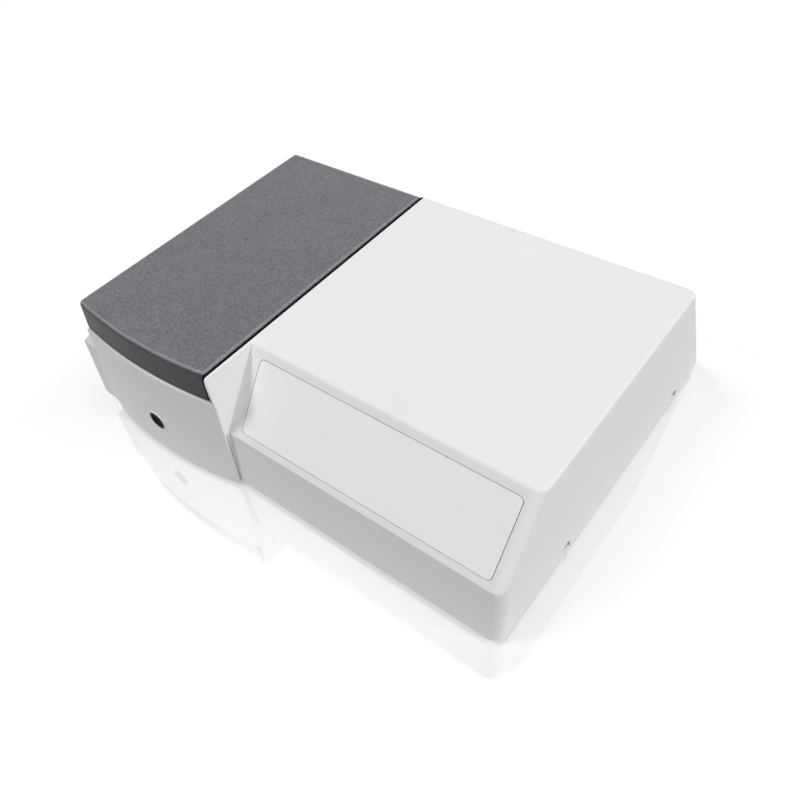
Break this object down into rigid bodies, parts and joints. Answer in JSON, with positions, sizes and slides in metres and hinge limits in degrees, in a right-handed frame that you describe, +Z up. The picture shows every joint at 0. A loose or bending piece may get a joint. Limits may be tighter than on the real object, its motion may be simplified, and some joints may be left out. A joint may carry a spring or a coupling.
{
  "type": "benchtop colorimeter",
  "caption": "Low benchtop colorimeter: white moulded case, hinged dark sample lid on the left, blank slanted label panel on the right, start button in the curved front wall.",
  "frame": {"origin": "on the bench plane, under the middle of the case in width and depth", "axes": "+X to the right of a person facing the front, +Y from the front to the back, +Z up; the front faces -Y"},
  "size_m": [0.441, 0.3626, 0.132],
  "materials": {
    "case_white": "light grey-white moulded plastic with a fine satin grain",
    "label_film": "smooth off-white satin film, blank",
    "screw_steel": "zinc-plated steel with a cross recess",
    "pan_grey": "dark grey powder-coated sheet steel",
    "foot_rubber": "black matte rubber",
    "lid_grey": "dark grey moulded plastic with a fine spark-eroded texture",
    "liner_black": "black light-tight plastic, dull",
    "hinge_steel": "pressed and zinc-plated steel leaf",
    "pin_steel": "drawn steel pin with headed ends",
    "well_black": "black moulded plastic, dull against stray light",
    "holder_black": "black anodised aluminium",
    "optical_glass": "clear polished optical glass",
    "block_alloy": "machined aluminium alloy",
    "board_green": "green solder resist on glass laminate",
    "parts_black": "black moulded component bodies",
    "post_brass": "turned brass stand-offs with their nuts",
    "button_black": "black polished plastic with a dished face",
    "bezel_black": "black plastic collar, semi-gloss",
    "house_steel": "folded aluminium sheet with air slots",
    "socket_ceramic": "cream unglazed lamp ceramic",
    "bulb_glass": "clear quartz glass",
    "reflector_mirror": "polished reflecting face",
    "heat_glass": "pale green heat-absorbing glass",
    "bracket_steel": "bent and plated sheet steel",
    "motor_black": "black lacquered motor can",
    "wheel_black": "black anodised wheel on its shaft",
    "filter_glass": "coloured filter glass, one tint to a place",
    "inlet_black": "black moulded mains fitting",
    "drawer_black": "black plastic fuse drawer",
    "rocker_black": "black plastic rocker, semi-gloss",
    "shell_metal": "nickel-plated connector shell",
    "fan_black": "black moulded fan plastic",
    "lead_red": "red insulated leads"
  },
  "bodies": {
    "case": {"cover": "case_white", "label_panel": "label_film", "cover_screws": "screw_steel", "base_pan": "pan_grey", "feet": "foot_rubber", "hinge_leaves": "hinge_steel", "hinge_pins": "pin_steel", "hinge_screws": "screw_steel", "sample_well": "well_black", "entrance_window": "optical_glass", "cell_holder": "holder_black", "sample_cell": "optical_glass", "detector_block": "block_alloy", "detector_lens": "optical_glass", "detector_board": "board_green", "button_bezel": "bezel_black", "button_switch": "parts_black", "optical_bench": "block_alloy", "bench_posts": "post_brass", "lamp_house": "house_steel", "lamp_socket": "socket_ceramic", "lamp_bulb": "bulb_glass", "reflector": "reflector_mirror", "heat_glass": "heat_glass", "collimator_tube": "holder_black", "condenser_lens": "optical_glass", "motor_bracket": "bracket_steel", "filter_motor": "motor_black", "main_board": "board_green", "board_parts": "parts_black", "board_posts": "post_brass", "power_supply": "house_steel", "rear_panel": "bracket_steel", "panel_screws": "screw_steel", "power_inlet": "inlet_black", "switch_frame": "inlet_black", "usb_socket": "shell_metal", "serial_socket": "shell_metal", "fan_frame": "fan_black", "wiring": "lead_red"},
    "lid": {"lid": "lid_grey", "lid_liner": "liner_black", "lid_seal": "foot_rubber", "lid_leaves": "hinge_steel", "lid_hinge_screws": "screw_steel"},
    "button": {"start_button": "button_black"},
    "rocker": {"power_rocker": "rocker_black"},
    "drawer": {"fuse_drawer": "drawer_black"},
    "wheel": {"filter_wheel": "wheel_black", "colour_filters": "filter_glass"},
    "fan": {"fan_rotor": "fan_black"}
  },
  "joints": [
    {"name": "lid_hinge", "type": "hinge", "parent": "case", "child": "lid", "pos_m": [-0.122, 0.13381, 0.10421], "axis": [-1, 0, 0], "range_deg": [0, 95]},
    {"name": "button_press", "type": "slide", "parent": "case", "child": "button", "axis": [0, 1, 0], "range_m": [0, 0.0016], "stiffness_N_per_m": 600, "springref_m": -0.001},
    {"name": "rocker_tilt", "type": "hinge", "parent": "case", "child": "rocker", "pos_m": [0.1259, 0.14921, 0.0664], "axis": [1, 0, 0], "range_deg": [0, 18]},
    {"name": "drawer_pull", "type": "slide", "parent": "case", "child": "drawer", "axis": [0, 0.8718, 0.4899], "range_m": [0, 0.018]},
    {"name": "wheel_turn", "type": "hinge", "parent": "case", "child": "wheel", "pos_m": [0.0055, -0.04426, 0.084], "axis": [1, 0, 0], "continuous": true},
    {"name": "fan_spin", "type": "hinge", "parent": "case", "child": "fan", "pos_m": [0.0239, 0.14991, 0.06679], "axis": [0, 0.8718, 0.4899], "continuous": true}
  ]
}
